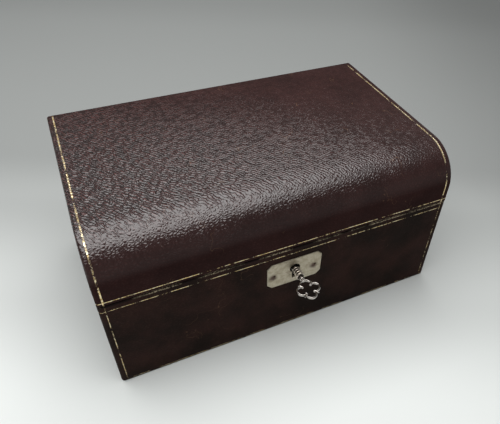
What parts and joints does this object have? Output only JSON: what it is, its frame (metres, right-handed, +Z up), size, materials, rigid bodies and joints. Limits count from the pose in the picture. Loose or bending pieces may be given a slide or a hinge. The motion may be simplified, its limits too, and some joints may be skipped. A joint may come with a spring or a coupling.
{
  "type": "jewellery box",
  "caption": "Leather-covered wooden jewellery box with a round-fronted hinged lid, thin gilt lines, a lock plate with its key, and a lift-out ring tray.",
  "frame": {"origin": "centre of the underside", "axes": "+X along the box's length, to the right as seen from the front; -Y out of the front, where the lock is; +Z up"},
  "size_m": [0.27, 0.2019, 0.131],
  "materials": {
    "morocco_leather": "dark plum-brown grained hide, glossy and worn, with thin gilt lines",
    "board_wood": "planed softwood",
    "underside_cloth": "dark cloth-covered card",
    "velvet": "wine-red velvet over card and padding",
    "velvet_covered_wood": "thin wood covered in wine-red velvet",
    "satin": "old gold satin over card and padding",
    "nickel": "tarnished warm grey nickel, brushed",
    "steel": "worn bright steel",
    "brass": "aged brass"
  },
  "bodies": {
    "base": {"base_front_board": "board_wood", "base_back_board": "board_wood", "base_left_board": "board_wood", "base_right_board": "board_wood", "base_bottom_board": "board_wood", "base_leather": "morocco_leather", "underside_cover": "underside_cloth", "base_front_lining": "velvet", "base_back_lining": "velvet", "base_left_lining": "velvet", "base_right_lining": "velvet", "base_floor_pad": "velvet", "tray_rest_left": "velvet_covered_wood", "tray_rest_right": "velvet_covered_wood", "escutcheon": "nickel", "escutcheon_pins": "steel", "lock_case": "steel", "lock_back_plate": "steel", "lock_selvedge": "brass", "lock_selvedge_screws": "brass", "lock_drill_pin": "steel", "lock_stumps": "steel", "hinge_base_leaf_left": "brass", "hinge_base_leaf_right": "brass", "hinge_pin_left": "brass", "hinge_pin_right": "brass", "hinge_base_screws": "brass"},
    "lid": {"lid_top_panel": "board_wood", "lid_back_board": "board_wood", "lid_left_board": "board_wood", "lid_right_board": "board_wood", "lid_leather": "morocco_leather", "lid_front_lining": "satin", "lid_back_lining": "satin", "lid_left_lining": "satin", "lid_right_lining": "satin", "lid_cushion": "satin", "lock_staple": "brass", "lock_staple_screws": "brass", "hinge_lid_leaf_left": "brass", "hinge_lid_leaf_right": "brass", "hinge_lid_screws": "brass"},
    "key_drum": {"lock_curtain": "brass"},
    "key": {"key": "steel"},
    "bolt": {"lock_bolt": "brass", "lock_bolt_spring": "steel"},
    "tray": {"tray_floor_board": "velvet_covered_wood", "tray_front_wall": "velvet_covered_wood", "tray_back_wall": "velvet_covered_wood", "tray_left_wall": "velvet_covered_wood", "tray_right_wall": "velvet_covered_wood", "tray_ring_divider": "velvet_covered_wood", "tray_side_divider": "velvet_covered_wood", "tray_middle_divider": "velvet_covered_wood", "tray_end_divider": "velvet_covered_wood", "tray_pads": "velvet", "ring_rolls": "velvet", "tray_tabs": "satin"}
  },
  "joints": [
    {"name": "lid_hinge", "type": "hinge", "parent": "base", "child": "lid", "pos_m": [0, 0.085, 0.087], "axis": [-1, 0, 0], "range_deg": [0, 100]},
    {"name": "key_turn", "type": "hinge", "parent": "base", "child": "key_drum", "pos_m": [0.002, -0.0799, 0.0654], "axis": [0, 1, 0], "range_deg": [0, 360]},
    {"name": "key_withdraw", "type": "slide", "parent": "key_drum", "child": "key", "axis": [0, -1, 0], "range_m": [0, 0.025]},
    {"name": "bolt_slide", "type": "slide", "parent": "base", "child": "bolt", "axis": [1, 0, 0], "range_m": [0, 0.004]},
    {"name": "tray_lift", "type": "slide", "parent": "base", "child": "tray", "axis": [0, 0, 1], "range_m": [0, 0.018]}
  ],
  "couplings": [
    {"joint": "bolt_slide", "follows": "key_turn", "m_per_rad": 0.000636}
  ]
}
